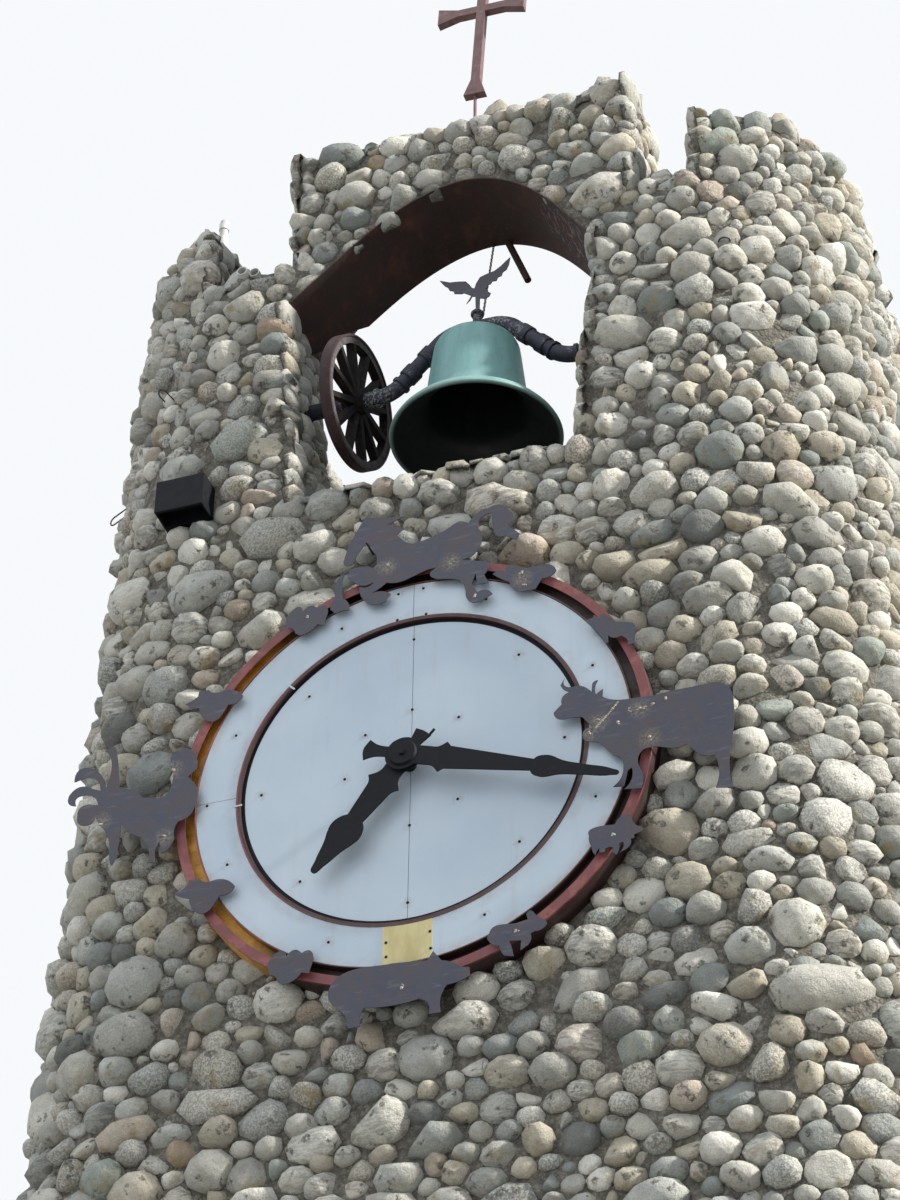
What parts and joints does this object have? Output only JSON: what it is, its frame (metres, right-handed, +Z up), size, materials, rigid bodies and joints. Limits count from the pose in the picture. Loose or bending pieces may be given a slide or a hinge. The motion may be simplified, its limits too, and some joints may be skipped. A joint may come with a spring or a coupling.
{
  "type": "cobblestone clock tower",
  "caption": "Battered rounded-square cobblestone clock tower with a framed dial ringed by farm animal plates and a bell swinging in an arched belfry under a crenellated top.",
  "frame": {"origin": "on the tower axis at ground level, in the underside of the ground slab", "axes": "+Z up, the clock looks along -Y, +X to the right of someone facing the clock"},
  "size_m": [6.5, 6.137, 19.2286],
  "materials": {
    "cobble": "river cobbles in grey-brown mortar",
    "concrete": "plain cast slab",
    "rust_steel": "dark rusty plate",
    "red_oxide": "red oxide paint, rust bloom",
    "dial_white": "white enamel sheet",
    "dial_yellow": "yellowed sheet",
    "grey_plate": "dull grey sheet steel",
    "black_paint": "black satin paint",
    "bronze": "verdigris bell bronze",
    "dark_pipe": "dark painted steel pipe",
    "wheel_wood": "weathered dark oak",
    "wheel_iron": "rusty iron tyre",
    "white_pipe": "weathered white pipe",
    "cross_red": "faded red paint"
  },
  "bodies": {
    "tower": {"arch_gable": "cobble", "arch_lining": "rust_steel", "arch_pipe": "rust_steel", "back_left_corner": "cobble", "back_right_corner": "cobble", "back_wall": "cobble", "belfry_floor": "concrete", "centre_bush": "black_paint", "clock_rim": "red_oxide", "cow_plate": "grey_plate", "dial_backing": "black_paint", "dial_disc": "dial_white", "dial_hoop": "red_oxide", "dial_patch": "dial_yellow", "dial_ring": "dial_white", "front_left_corner": "cobble", "front_right_corner": "cobble", "front_wall": "cobble", "gable_cross": "cross_red", "ground_slab": "concrete", "horse_plate": "grey_plate", "left_bearing": "rust_steel", "left_jamb": "cobble", "left_wall": "cobble", "pipe_stubs": "white_pipe", "right_bearing": "rust_steel", "right_jamb": "cobble", "right_wall": "cobble", "rooster_plate": "grey_plate", "small_animal_plates": "grey_plate", "sow_plate": "grey_plate", "tether_chain": "rust_steel", "vent_pipe": "white_pipe", "wall_box": "black_paint", "wall_hooks": "rust_steel"},
    "minute_hand": {"minute_hand": "black_paint", "hub_cap": "black_paint"},
    "hour_hand": {"hour_hand": "black_paint"},
    "bell": {"bell": "bronze", "yoke": "dark_pipe", "wheel_tyre": "wheel_iron", "wheel_spokes": "wheel_wood", "eagle": "grey_plate", "crown_chain": "rust_steel", "yoke_couplings": "dark_pipe"}
  },
  "joints": [
    {"name": "minute_turn", "type": "hinge", "parent": "tower", "child": "minute_hand", "pos_m": [-0.15, -2.73, 11.9], "axis": [0, 1, 0], "continuous": true},
    {"name": "hour_turn", "type": "hinge", "parent": "tower", "child": "hour_hand", "pos_m": [-0.15, -2.73, 11.9], "axis": [0, 1, 0], "continuous": true},
    {"name": "bell_swing", "type": "hinge", "parent": "tower", "child": "bell", "pos_m": [0.096, -2.28, 15.36], "axis": [1, 0, 0], "range_deg": [-45, 45]}
  ],
  "couplings": [
    {"joint": "hour_turn", "follows": "minute_turn", "ratio": 0.083333}
  ]
}
